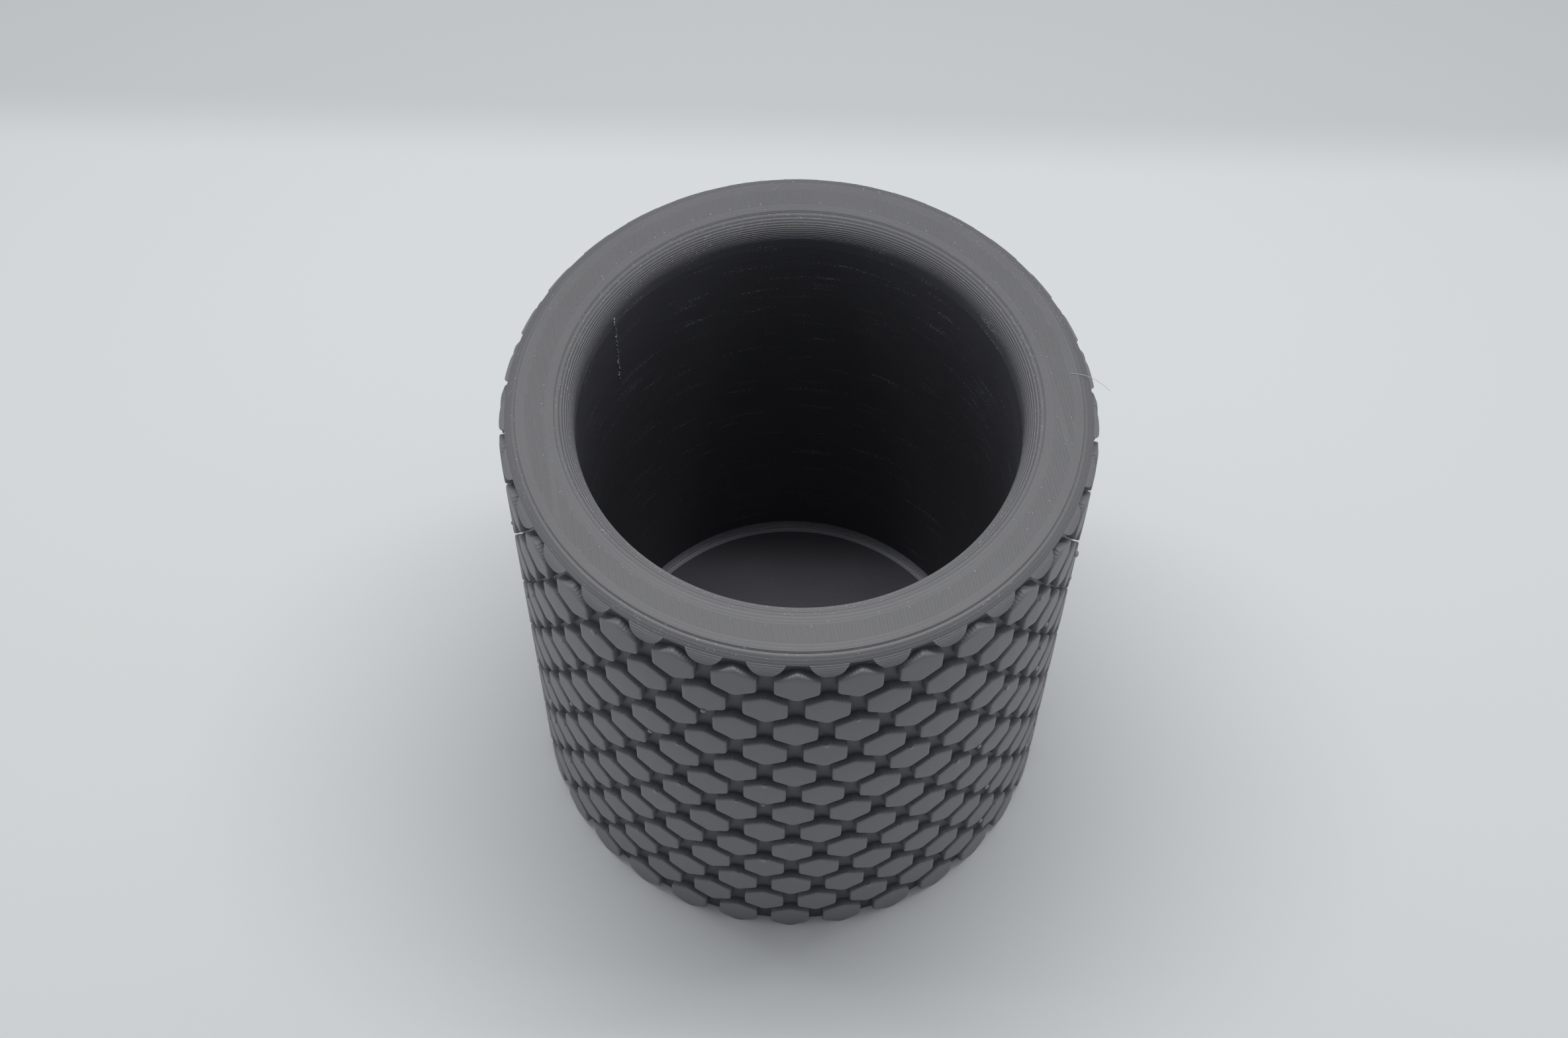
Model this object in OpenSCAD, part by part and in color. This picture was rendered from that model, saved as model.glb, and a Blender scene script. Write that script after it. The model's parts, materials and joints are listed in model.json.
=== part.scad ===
// Open tumbler barrel, printed upright in one piece of plastic, with a raised hexagon tread.
// Millimetres. The origin is the centre of the base and +Z points up, out of the mouth.
// Each feature of the print is a solid of its own, and neighbours meet face to face.

/* [Barrel] */
// Outer diameter over the tread pads
barrel_d = 80; // [64:1:120]
// Height from the base to the rim
barrel_h = 85; // [60:1:140]
// Thickness of the wall behind the tread
wall_t = 8.8; // [7.2:0.1:14]
// Thickness of the floor
floor_t = 5; // [2:0.1:12]
// Radius of the cove where the chamber's wall meets its floor
cove_r = 1.5; // [0.5:0.1:4]

/* [Mouth] */
// Radius of the lip that rolls from the rim down into the chamber
lip_r = 3.4; // [1:0.1:3.8]
// Radius of the shoulder that rolls from the rim over to the tread
shoulder_r = 3.2; // [1.6:0.1:3.8]
// Height of the plain ring that carries the lip and the shoulder
mouth_ring_h = 5; // [4.5:0.1:12]

/* [Tread] */
// How far the pads stand out from the wall
tread_t = 1.2; // [0.6:0.1:1.5]
// Number of pads in one turn
pads_per_row = 31; // [20:1:40]
// Width of the upright groove between neighbours in a row
upright_groove_w = 2.2; // [1.2:0.05:3]
// Width of the slanting groove between one row and the next
slant_groove_w = 1.63; // [1:0.01:2.6]
// How far the scallops hang down from the rim
scallop_drop = 2.65; // [1.8:0.05:3.2]
// Radius of a scallop's round edge
scallop_r = 2.85; // [2.7:0.05:3.6]
// How far below the rim the grooves between the scallops end
scallop_band_h = 1.0; // [0.8:0.05:1.6]
// Direction of the first pad of the top row, anticlockwise from +X
first_pad_angle = 271; // [0:1:359]

/* [Hidden] */
$fn = 180;
hex_sides = 6;
barrel_r = barrel_d / 2;
wall_r = barrel_r - tread_t;
chamber_r = wall_r - wall_t;
wall_foot_top = floor_t + cove_r;
mouth_ring_z = barrel_h - mouth_ring_h;
shoulder_z = barrel_h - shoulder_r;
lip_z = barrel_h - lip_r;
column_angle = 360 / pads_per_row;
column_pitch = 2 * PI * barrel_r / pads_per_row;
pad_flats = column_pitch - upright_groove_w;
pad_corners = pad_flats / cos(30);
row_pitch = (pad_flats + slant_groove_w - column_pitch / 4) / cos(30);
// The rows of pads count down from the scallops, which stand where a row would be cut by the rim
scallop_row_z = barrel_h - scallop_drop + pad_corners / 2;
scallop_z = barrel_h - scallop_drop + scallop_r;
row_count = ceil((barrel_h - scallop_drop) / row_pitch);
// The pads are cut from blanks that start inside the wall and end outside the barrel
blank_margin = 2;
blank_r = wall_r - blank_margin;
blank_h = tread_t + 2 * blank_margin;
print_grey = "#5c5e62";
chamber_grey = "#2c2d31";
base_nodes = ["floor_disc", "wall_foot", "barrel_wall", "mouth_ring", "rim_scallops"];

// tread_row_01 is the row nearest the rim
function row_name(row) = str("tread_row_", row < 10 ? "0" : "", row);

// Rows take turns to stand half a pad round from each other
function row_angle(row) = first_pad_angle + (row % 2 == 0 ? column_angle / 2 : 0);

function row_z(row) = scallop_row_z - row * row_pitch;

// Half section of everything inside the barrel's outer skin, with its rounded shoulder
module envelope_section(outer_r) {
    intersection() {
        square([outer_r, barrel_h]);
        union() {
            square([barrel_r, shoulder_z]);
            square([barrel_r - shoulder_r, barrel_h]);
            translate([barrel_r - shoulder_r, shoulder_z]) circle(shoulder_r);
        }
    }
}

// Thin sleeve that the tread is cut from, between the wall and the outer skin
module tread_sleeve() {
    rotate_extrude() difference() {
        envelope_section(barrel_r);
        square([wall_r, barrel_h]);
    }
}

// Upright hexagon with a corner at the top and at the bottom, pointing away from the axis
module pad_blank(angle, z) {
    rotate([0, 0, angle]) translate([blank_r, 0, z]) rotate([0, 90, 0])
        cylinder(h = blank_h, d = pad_corners, $fn = hex_sides);
}

module pad_ring(row) {
    for (column = [0:pads_per_row - 1]) intersection() {
        tread_sleeve();
        pad_blank(row_angle(row) + column * column_angle, row_z(row));
    }
}

// Round lobes under the rim, each over a groove between two pads of the top row
module scallop_ring() {
    for (column = [0:pads_per_row - 1]) intersection() {
        tread_sleeve();
        rotate([0, 0, row_angle(0) + column * column_angle]) translate([blank_r, 0, scallop_z])
            rotate([0, 90, 0]) cylinder(h = blank_h, r = scallop_r);
    }
}

module floor_disc() {
    color(chamber_grey) cylinder(h = floor_t, r = wall_r);
}

// Lowest ring of the wall, with the cove on its inner edge
module wall_foot() {
    color(chamber_grey) rotate_extrude() difference() {
        translate([chamber_r - cove_r, floor_t]) square([wall_t + cove_r, cove_r]);
        translate([chamber_r - cove_r, wall_foot_top]) circle(cove_r);
    }
}

module barrel_wall() {
    color(print_grey) difference() {
        translate([0, 0, wall_foot_top]) cylinder(h = mouth_ring_z - wall_foot_top, r = wall_r);
        cylinder(h = barrel_h, r = chamber_r);
    }
}

// Ring under the rim, with the lip on its inner edge and the shoulder on its outer edge
module mouth_ring() {
    color(print_grey) rotate_extrude() difference() {
        envelope_section(wall_r);
        square([wall_r, mouth_ring_z]);
        square([chamber_r, barrel_h]);
        difference() {
            translate([chamber_r, lip_z]) square([lip_r, lip_r]);
            translate([chamber_r + lip_r, lip_z]) circle(lip_r);
        }
    }
}

// Unbroken band under the rim, which closes the tops of the grooves between the scallops
module scallop_band() {
    rotate_extrude() difference() {
        envelope_section(barrel_r);
        square([wall_r, barrel_h]);
        square([barrel_r, barrel_h - scallop_band_h]);
    }
}

module rim_scallops() {
    color(print_grey) union() {
        scallop_band();
        scallop_ring();
    }
}

module tread_row(row) {
    color(print_grey) pad_ring(row);
}

floor_disc();
wall_foot();
barrel_wall();
mouth_ring();
rim_scallops();
for (row = [1:row_count]) tread_row(row);
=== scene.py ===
"""Open rock tumbler barrel, printed upright in one piece of dark grey plastic.

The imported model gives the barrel's sizes. The script builds the printed surface on them: the
stacked layers that step round the mouth, the straight lines that fill the rim, the raised hexagon
tread, and the seam, blobs and wisp of plastic that printing leaves behind.
"""

import json
import logging
import math
from dataclasses import dataclass, field
from enum import Enum
from typing import Any, Callable, Sequence

import bmesh
import bpy
from mathutils import Matrix, Vector


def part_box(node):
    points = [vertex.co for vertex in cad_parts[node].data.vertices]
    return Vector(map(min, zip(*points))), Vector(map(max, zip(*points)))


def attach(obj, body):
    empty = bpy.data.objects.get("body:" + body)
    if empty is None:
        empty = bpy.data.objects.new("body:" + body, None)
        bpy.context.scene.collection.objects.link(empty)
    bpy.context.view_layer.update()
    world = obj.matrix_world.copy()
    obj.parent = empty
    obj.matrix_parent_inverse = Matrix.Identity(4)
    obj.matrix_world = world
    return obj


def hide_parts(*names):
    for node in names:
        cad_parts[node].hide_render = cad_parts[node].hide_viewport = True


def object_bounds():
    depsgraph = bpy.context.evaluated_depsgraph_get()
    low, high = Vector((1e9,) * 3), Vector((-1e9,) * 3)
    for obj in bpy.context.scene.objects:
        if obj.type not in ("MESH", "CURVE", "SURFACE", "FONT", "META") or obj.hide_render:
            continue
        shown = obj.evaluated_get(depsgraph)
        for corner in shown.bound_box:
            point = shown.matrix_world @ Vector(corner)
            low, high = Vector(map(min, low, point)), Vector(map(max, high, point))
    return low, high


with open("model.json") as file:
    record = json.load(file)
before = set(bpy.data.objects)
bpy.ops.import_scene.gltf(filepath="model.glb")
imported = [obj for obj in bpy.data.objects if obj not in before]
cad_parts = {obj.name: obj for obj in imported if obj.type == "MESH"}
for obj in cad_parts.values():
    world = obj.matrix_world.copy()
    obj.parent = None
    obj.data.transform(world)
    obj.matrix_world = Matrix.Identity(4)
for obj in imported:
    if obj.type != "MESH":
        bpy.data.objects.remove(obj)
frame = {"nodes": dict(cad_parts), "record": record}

LOG = logging.getLogger("tumbler_barrel")
MM = 0.001
BODY = "root"
CAD_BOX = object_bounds()
# Angle between two faces from which their edge stays sharp: on most pieces, and on round blobs
SHARP_FROM = math.radians(32)
NEVER_SHARP = math.pi

Point2 = tuple[float, float]
Point3 = tuple[float, float, float]
Profile = list[Point2]


# ---------------------------------------------------------------------------------------------
# Sizes
# ---------------------------------------------------------------------------------------------
@dataclass(frozen=True)
class PrintSettings:
    """How the plastic was laid down, in metres.

    Attributes:
        layer: Height of one layer.
        line: Width of one line of plastic.
        loops: Number of round lines laid inside each edge before the straight fill.
        groove: Depth of the groove between two lines or two upright layers.
        sag: How far a layer's inner edge sinks towards the true surface, as a share of the step.
        shoulder_sag: The same for its outer edge.
        fill_angle: Direction that the straight fill lines point in, anticlockwise from +X.
    """

    layer: float = 0.25 * MM
    line: float = 0.452 * MM
    loops: int = 3
    groove: float = 0.02 * MM
    sag: float = 0.48
    shoulder_sag: float = 0.9
    fill_angle: float = math.radians(101)


@dataclass(frozen=True)
class BarrelSizes:
    """Sizes of the barrel in metres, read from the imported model.

    Attributes:
        height: Height of the rim above the base.
        barrel_r: Outer radius over the tread.
        wall_r: Radius of the wall behind the tread.
        chamber_r: Radius of the chamber.
        floor_z: Height of the chamber's floor.
        cove_r: Radius of the cove between floor and wall.
        ring_z: Height where the mouth ring starts.
        lip_r: Radius of the lip that rolls into the chamber.
        shoulder_r: Radius of the shoulder that rolls out to the tread.
        scallop_row_z: Height that the rows of pads count down from.
        scallop_low_z: Height of the scallops' lowest points.
        row_pitch: Height from one row of pads to the next.
        pad_corners: Height of a pad from corner to corner.
        band_drop: How far below the rim the grooves between the scallops end, which no box gives.
    """

    height: float
    barrel_r: float
    wall_r: float
    chamber_r: float
    floor_z: float
    cove_r: float
    ring_z: float
    lip_r: float
    shoulder_r: float
    scallop_row_z: float
    scallop_low_z: float
    row_pitch: float
    pad_corners: float
    band_drop: float = 1.0 * MM

    @classmethod
    def from_frame(cls, record: dict[str, Any]) -> "BarrelSizes":
        """Work the sizes out from the nodes' boxes and the mouth mount.

        Args:
            record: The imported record.

        Returns:
            The barrel's sizes.
        """
        mouth = next(m for m in record["mounts"] if m["name"] == "mouth_bore")
        high_row, low_row = 2, 12
        upper, lower = (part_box(f"tread_row_{row:02d}") for row in (high_row, low_row))
        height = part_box("mouth_ring")[1].z
        row_pitch = (upper[0].z - lower[0].z) / (low_row - high_row)
        corners = upper[1].z - upper[0].z
        wall_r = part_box("barrel_wall")[1].x
        # The shoulder's arc crosses the wall's radius where the scallops end
        stand = upper[1].y - wall_r
        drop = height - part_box("rim_scallops")[1].z
        return cls(
            height=height,
            barrel_r=upper[1].x,
            wall_r=wall_r,
            chamber_r=mouth["dims"]["r_mm"] * MM,
            floor_z=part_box("floor_disc")[1].z,
            cove_r=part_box("wall_foot")[1].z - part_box("wall_foot")[0].z,
            ring_z=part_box("mouth_ring")[0].z,
            lip_r=height - mouth["pos_m"][2],
            shoulder_r=stand + drop + math.sqrt(2 * stand * drop),
            scallop_row_z=upper[0].z + corners / 2 + high_row * row_pitch,
            scallop_low_z=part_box("rim_scallops")[0].z,
            row_pitch=row_pitch,
            pad_corners=corners,
        )

    @property
    def lip_z(self) -> float:
        """Height where the lip starts."""
        return self.height - self.lip_r

    @property
    def shoulder_z(self) -> float:
        """Height where the shoulder starts."""
        return self.height - self.shoulder_r

    def mouth_radius(self, z: float) -> float:
        """Radius of the mouth's inner surface at a height."""
        rise = max(0.0, z - self.lip_z)
        return self.chamber_r + self.lip_r - math.sqrt(max(0.0, self.lip_r**2 - rise**2))

    def skin_radius(self, z: float) -> float:
        """Radius of the barrel's outer skin over the pads at a height."""
        rise = max(0.0, z - self.shoulder_z)
        return self.barrel_r - self.shoulder_r + math.sqrt(max(0.0, self.shoulder_r**2 - rise**2))

    def cove_radius(self, z: float) -> float:
        """Radius of the chamber's surface at a height in the cove."""
        down = max(0.0, self.floor_z + self.cove_r - z)
        return self.chamber_r - (self.cove_r - math.sqrt(max(0.0, self.cove_r**2 - down**2)))


# ---------------------------------------------------------------------------------------------
# Mesh and node helpers
# ---------------------------------------------------------------------------------------------
def new_object(name: str, mesh: bpy.types.Mesh) -> bpy.types.Object:
    """Link a mesh to the scene as an object at the origin.

    Args:
        name: Name of the object.
        mesh: Its mesh.

    Returns:
        The new object.
    """
    mesh.name = name
    made = bpy.data.objects.new(name, mesh)
    bpy.context.scene.collection.objects.link(made)
    return made


def build_mesh(
    points: Sequence[Point3], faces: Sequence[Sequence[int]], outward: bool = True
) -> bpy.types.Mesh:
    """Make a mesh from points and faces.

    Args:
        points: Corners in metres.
        faces: Corner numbers of each face.
        outward: Whether the mesh is closed, so that its faces can be turned outwards.

    Returns:
        The mesh, smooth apart from its sharp edges.
    """
    mesh = bpy.data.meshes.new("mesh")
    mesh.from_pydata(points, [], faces)
    if outward:
        work = bmesh.new()
        work.from_mesh(mesh)
        bmesh.ops.recalc_face_normals(work, faces=work.faces)
        work.to_mesh(mesh)
        work.free()
    mesh.validate()
    finish_edges(mesh)
    return mesh


def finish_edges(mesh: bpy.types.Mesh, sharp_from: float = SHARP_FROM) -> None:
    """Shade a mesh smooth and keep its sharp edges sharp.

    Args:
        mesh: The mesh to shade.
        sharp_from: Angle between two faces from which their edge stays sharp.
    """
    mesh.shade_smooth()
    mesh.set_sharp_from_angle(angle=sharp_from)


def revolve(profile: Profile, segments: int, closed: bool) -> bpy.types.Mesh:
    """Turn a half section about the axis.

    Args:
        profile: Points of the section as radius and height.
        segments: Number of steps in one turn.
        closed: True for a ring, whose section is a loop. False for a disc, whose section starts
            and ends on the axis.

    Returns:
        The closed mesh.
    """
    inner = profile if closed else profile[1:-1]
    count = len(inner)
    points: list[Point3] = []
    for step in range(segments):
        turn = math.tau * step / segments
        points += [(r * math.cos(turn), r * math.sin(turn), z) for r, z in inner]
    faces: list[tuple[int, ...]] = []
    for step in range(segments):
        here, there = step * count, (step + 1) % segments * count
        for i in range(count if closed else count - 1):
            j = (i + 1) % count
            faces.append((here + i, here + j, there + j, there + i))
    if not closed:
        first, last = len(points), len(points) + 1
        points += [(0.0, 0.0, profile[0][1]), (0.0, 0.0, profile[-1][1])]
        for step in range(segments):
            here, there = step * count, (step + 1) % segments * count
            faces.append((first, here, there))
            faces.append((last, there + count - 1, here + count - 1))
    return build_mesh(points, faces)


def sleeve(rings: int, size: int) -> list[list[int]]:
    """Faces between rings of points, each ring joined to the next.

    Args:
        rings: Number of rings, whose points follow one another.
        size: Number of points in a ring.

    Returns:
        The faces, ring by ring.
    """
    faces: list[list[int]] = []
    for here in range(0, (rings - 1) * size, size):
        for i in range(size):
            j = (i + 1) % size
            faces.append([here + i, here + j, here + size + j, here + size + i])
    return faces


def add(
    tree: bpy.types.NodeTree, kind: str, values: dict[Any, Any] | None = None, **settings: Any
) -> bpy.types.Node:
    """Add a node with its settings, values and links.

    Args:
        tree: The tree to add to.
        kind: Type name of the node.
        values: Input name or number to a value, or to the socket or node that feeds it. A node
            feeds it from its first output in use.
        **settings: Properties of the node.

    Returns:
        The new node.
    """
    node = tree.nodes.new(kind)
    for key, value in settings.items():
        setattr(node, key, value)
    for key, value in (values or {}).items():
        if isinstance(value, bpy.types.Node):
            value = next(output for output in value.outputs if output.enabled)
        if isinstance(value, bpy.types.NodeSocket):
            tree.links.new(value, node.inputs[key])
        else:
            node.inputs[key].default_value = value
    return node


def start_material(name: str) -> tuple[bpy.types.Material, bpy.types.NodeTree]:
    """Start a material with an empty tree.

    Args:
        name: Name of the material.

    Returns:
        The material and its tree.
    """
    material = bpy.data.materials.new(name)
    material.use_nodes = True
    material.node_tree.nodes.clear()
    return material, material.node_tree


def linear(hex_code: str) -> tuple[float, float, float, float]:
    """Turn an sRGB hex colour into linear red, green, blue and alpha.

    Args:
        hex_code: Colour such as "#5c5e62".

    Returns:
        The linear colour, with alpha 1.
    """
    parts = [int(hex_code[i : i + 2], 16) / 255 for i in (1, 3, 5)]
    red, green, blue = (c / 12.92 if c <= 0.04045 else ((c + 0.055) / 1.055) ** 2.4 for c in parts)
    return red, green, blue, 1.0


def blob_mesh(depth: float, width: float, height: float) -> bpy.types.Mesh:
    """Build a small rounded blob.

    Args:
        depth: Its half size along X.
        width: Its half size along Y.
        height: Its half size along Z.

    Returns:
        The closed mesh, with a few dozen faces.
    """
    rounds, sides = 4, 8
    profile = [(math.sin(math.pi * i / rounds), math.cos(math.pi * i / rounds)) for i in range(rounds + 1)]
    mesh = revolve(profile, sides, closed=False)
    mesh.transform(Matrix.Diagonal((depth, width, height, 1.0)))
    return mesh


def tube(path: Sequence[Vector], radius: float, sides: int = 8) -> bpy.types.Mesh:
    """Build a thin round strand along a path.

    Args:
        path: Points of its middle line.
        radius: Its radius.
        sides: Number of its sides.

    Returns:
        The closed mesh.
    """
    points: list[Point3] = []
    for i, here in enumerate(path):
        along = (path[min(i + 1, len(path) - 1)] - path[max(i - 1, 0)]).normalized()
        side = along.cross(Vector((0.0, 0.0, 1.0))).normalized()
        over = side.cross(along)
        for k in range(sides):
            turn = math.tau * k / sides
            points.append(tuple(here + radius * (math.cos(turn) * side + math.sin(turn) * over)))
    ends = [list(range(sides)), list(range(len(points) - sides, len(points)))]
    return build_mesh(points, sleeve(len(path), sides) + ends)


# ---------------------------------------------------------------------------------------------
# Geometry Nodes
# ---------------------------------------------------------------------------------------------
class NodeShape:
    """A Geometry Nodes tree with named inputs that turns a small mesh into a whole piece.

    Attributes:
        tree: The tree.
        known: Name of each input, and of each sum worked out so far, to its socket.
    """

    def __init__(self, name: str, whole: Sequence[str], other: Sequence[str]) -> None:
        """Start a tree that takes a mesh, a finish and numbers.

        Args:
            name: Name of the tree.
            whole: Names of its whole-number inputs.
            other: Names of its other number inputs.
        """
        self.tree = bpy.data.node_groups.new(name, "GeometryNodeTree")
        kinds = {"Geometry": "NodeSocketGeometry", "Finish": "NodeSocketMaterial"}
        kinds |= dict.fromkeys(whole, "NodeSocketInt") | dict.fromkeys(other, "NodeSocketFloat")
        self.tree.interface.new_socket("Geometry", in_out="OUTPUT", socket_type="NodeSocketGeometry")
        for title, kind in kinds.items():
            self.tree.interface.new_socket(title, in_out="INPUT", socket_type=kind)
        start = self.tree.nodes.new("NodeGroupInput")
        self.known = {title: start.outputs[title] for title in kinds}

    def node(self, kind: str, values: dict[Any, Any] | None = None, **settings: Any) -> bpy.types.Node:
        """Add a node as add() does, where a value may also be the name of an input or a sum."""
        fed = {k: self.known[v] if isinstance(v, str) else v for k, v in (values or {}).items()}
        return add(self.tree, kind, fed, **settings)

    def sums(self, steps: dict[str, tuple[Any, ...]]) -> None:
        """Work out a chain of named sums.

        Args:
            steps: Name of each result to its operation and inputs. An input is a number, a node, a
                socket, or the name of one of the tree's inputs or of an earlier result.
        """
        for name, (operation, *inputs) in steps.items():
            result = self.node("ShaderNodeMath", dict(enumerate(inputs)), operation=operation)
            self.known[name] = result.outputs[0]

    def close(self, geometry: bpy.types.Node) -> None:
        """End the tree in Realize Instances and Set Material.

        Args:
            geometry: The node that gives the finished shape.
        """
        real = self.node("GeometryNodeRealizeInstances", {"Geometry": geometry})
        dressed = self.node("GeometryNodeSetMaterial", {"Geometry": real, "Material": "Finish"})
        self.node("NodeGroupOutput", {0: dressed})

    def apply(
        self, name: str, seed_mesh: bpy.types.Mesh, values: dict[str, Any], sharp_from: float = SHARP_FROM
    ) -> bpy.types.Object:
        """Run the tree on a mesh and keep the result as a plain mesh.
        Args:
            name: Name of the finished piece.
            seed_mesh: The mesh that the tree starts from.
            values: Input name to its value.
            sharp_from: Angle between two faces from which their edge stays sharp.

        Returns:
            The finished piece, with no modifier left on it.
        """
        maker = new_object(name + ".maker", seed_mesh)
        modifier = maker.modifiers.new("shape", "NODES")
        modifier.node_group = self.tree
        for item in self.tree.interface.items_tree:
            if item.in_out == "INPUT" and item.name in values:
                modifier[item.identifier] = values[item.name]
        bpy.context.view_layer.update()
        seen = maker.evaluated_get(bpy.context.evaluated_depsgraph_get())
        mesh = bpy.data.meshes.new_from_object(seen)
        maker.modifiers.clear()
        bpy.data.objects.remove(maker)
        finish_edges(mesh, sharp_from)
        return new_object(name, mesh)


def ring_of_copies() -> NodeShape:
    """Copies of a small piece at equal steps round the axis.

    Returns:
        The tree, with the inputs Count, First Angle and Finish.
    """
    shape = NodeShape("ring_of_copies", ["Count"], ["First Angle"])
    index = shape.node("GeometryNodeInputIndex")
    shape.sums(
        {
            "step": ("DIVIDE", math.tau, "Count"),
            "turn": ("MULTIPLY_ADD", index, "step", "First Angle"),
        }
    )
    points = shape.node("GeometryNodePoints", {"Count": "Count"})
    spin = shape.node("ShaderNodeCombineXYZ", {"Z": "turn"})
    values = {"Points": points, "Instance": "Geometry", "Rotation": spin}
    shape.close(shape.node("GeometryNodeInstanceOnPoints", values))
    return shape


def fill_lines() -> NodeShape:
    """Straight lines of plastic that run to and fro across a flat ring.

    Returns:
        The tree, with the inputs Count, Pitch, Inner Radius, Outer Radius, Height, Side, Crown,
        Angle and Finish. Side is 1 for the half that also fills both flanks, -1 for the other.
    """
    sizes = ["Pitch", "Inner Radius", "Outer Radius", "Height", "Side", "Crown", "Angle"]
    shape = NodeShape("fill_lines", ["Count"], sizes)
    index = shape.node("GeometryNodeInputIndex")
    bend_share, bend_points, bead_sides = 0.48, 3, 8
    shape.sums(
        {
            # Two points to a line, so the path goes out along one line and back along the next
            "points": ("MULTIPLY", "Count", 2.0),
            "line_share": ("DIVIDE", index, 2.0),
            "line": ("FLOOR", "line_share"),
            "odd_line": ("MODULO", "line", 2.0),
            "odd_point": ("MODULO", index, 2.0),
            "difference": ("SUBTRACT", "odd_line", "odd_point"),
            "far_end": ("ABSOLUTE", "difference"),
            # How far the line lies from the ring's middle
            "last": ("SUBTRACT", "Count", 1.0),
            "middle": ("MULTIPLY", "last", 0.5),
            "from_middle": ("SUBTRACT", "line", "middle"),
            "across": ("MULTIPLY", "from_middle", "Pitch"),
            "square": ("MULTIPLY", "across", "across"),
            # Where it meets the outer circle
            "outer_square": ("MULTIPLY", "Outer Radius", "Outer Radius"),
            "reach": ("SUBTRACT", "outer_square", "square"),
            "real_reach": ("MAXIMUM", "reach", 0.0),
            "far": ("SQRT", "real_reach"),
            # Where it meets the inner circle, or the far side where it passes beside the hole
            "inner_square": ("MULTIPLY", "Inner Radius", "Inner Radius"),
            "hole": ("SUBTRACT", "inner_square", "square"),
            "real_hole": ("MAXIMUM", "hole", 0.0),
            "near": ("SQRT", "real_hole"),
            "beside": ("LESS_THAN", "hole", 0.0),
            "opposite": ("MULTIPLY", "beside", "far"),
            "low": ("SUBTRACT", "near", "opposite"),
            "length": ("SUBTRACT", "far", "low"),
            "along": ("MULTIPLY_ADD", "far_end", "length", "low"),
            "sided": ("MULTIPLY", "along", "Side"),
            # Section of a line
            "bend": ("MULTIPLY", "Pitch", bend_share),
            "half_line": ("MULTIPLY", "Pitch", 0.5),
            "flatness": ("DIVIDE", "Crown", "half_line"),
        }
    )
    place = shape.node("ShaderNodeCombineXYZ", {"X": "across", "Y": "sided", "Z": "Height"})
    path = shape.node("GeometryNodeMeshLine", {"Count": "points"})
    laid = shape.node("GeometryNodeSetPosition", {"Geometry": path, "Position": place})
    curve = shape.node("GeometryNodeMeshToCurve", {"Mesh": laid})
    bends = {"Curve": curve, "Radius": "bend", "Count": bend_points}
    fillet = shape.node("GeometryNodeFilletCurve", bends, mode="POLY")
    section = {"Resolution": bead_sides, "Radius": "half_line"}
    bead = shape.node("GeometryNodeCurvePrimitiveCircle", section)
    squash = shape.node("ShaderNodeCombineXYZ", {"X": 1.0, "Y": "flatness", "Z": 1.0})
    flat = shape.node("GeometryNodeTransform", {"Geometry": bead, "Scale": squash})
    sweep = {"Curve": fillet, "Profile Curve": flat, "Fill Caps": True}
    swept = shape.node("GeometryNodeCurveToMesh", sweep)
    turn = shape.node("ShaderNodeCombineXYZ", {"Z": "Angle"})
    shape.close(shape.node("GeometryNodeTransform", {"Geometry": swept, "Rotation": turn}))
    return shape


def scattered_blobs() -> NodeShape:
    """Blobs of plastic on some of the points of a staggered pattern of rows round the axis.

    Returns:
        The tree, with the inputs Rows, Per Row, First Angle, Radius, Top Height, Row Pitch, Stagger,
        Share, Seed and Finish.
    """
    sizes = ["First Angle", "Radius", "Top Height", "Row Pitch", "Stagger", "Share"]
    shape = NodeShape("scattered_blobs", ["Rows", "Per Row", "Seed"], sizes)
    index = shape.node("GeometryNodeInputIndex")
    # How far a blob strays round the axis, in radians, and its smallest and largest scale
    stray, smallest, largest = 0.004, 0.55, 1.15
    strays = {2: -stray, 3: stray, "Seed": "Seed"}
    jitter = shape.node("FunctionNodeRandomValue", strays, data_type="FLOAT")
    shape.sums(
        {
            "count": ("MULTIPLY", "Rows", "Per Row"),
            "row_share": ("DIVIDE", index, "Per Row"),
            "row": ("FLOOR", "row_share"),
            "before": ("MULTIPLY", "row", "Per Row"),
            "column": ("SUBTRACT", index, "before"),
            "step": ("DIVIDE", math.tau, "Per Row"),
            "odd_row": ("MODULO", "row", 2.0),
            "shift": ("MULTIPLY", "odd_row", "Stagger"),
            "steps": ("ADD", "column", "shift"),
            "even_turn": ("MULTIPLY_ADD", "steps", "step", "First Angle"),
            "turn": ("ADD", "even_turn", jitter.outputs[1]),
            "cosine": ("COSINE", "turn"),
            "sine": ("SINE", "turn"),
            "x": ("MULTIPLY", "cosine", "Radius"),
            "y": ("MULTIPLY", "sine", "Radius"),
            "drop": ("MULTIPLY", "row", "Row Pitch"),
            "z": ("SUBTRACT", "Top Height", "drop"),
            # The size has a seed of its own, or the chosen blobs would all be small
            "size_seed": ("ADD", "Seed", 1),
        }
    )
    place = shape.node("ShaderNodeCombineXYZ", {"X": "x", "Y": "y", "Z": "z"})
    points = shape.node("GeometryNodePoints", {"Count": "count", "Position": place})
    chances = {"Probability": "Share", "Seed": "Seed"}
    chosen = shape.node("FunctionNodeRandomValue", chances, data_type="BOOLEAN")
    scales = {2: smallest, 3: largest, "Seed": "size_seed"}
    size = shape.node("FunctionNodeRandomValue", scales, data_type="FLOAT")
    spin = shape.node("ShaderNodeCombineXYZ", {"Z": "turn"})
    values = {
        "Points": points,
        "Selection": chosen.outputs[3],
        "Instance": "Geometry",
        "Rotation": spin,
        "Scale": size.outputs[1],
    }
    shape.close(shape.node("GeometryNodeInstanceOnPoints", values))
    return shape


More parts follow.
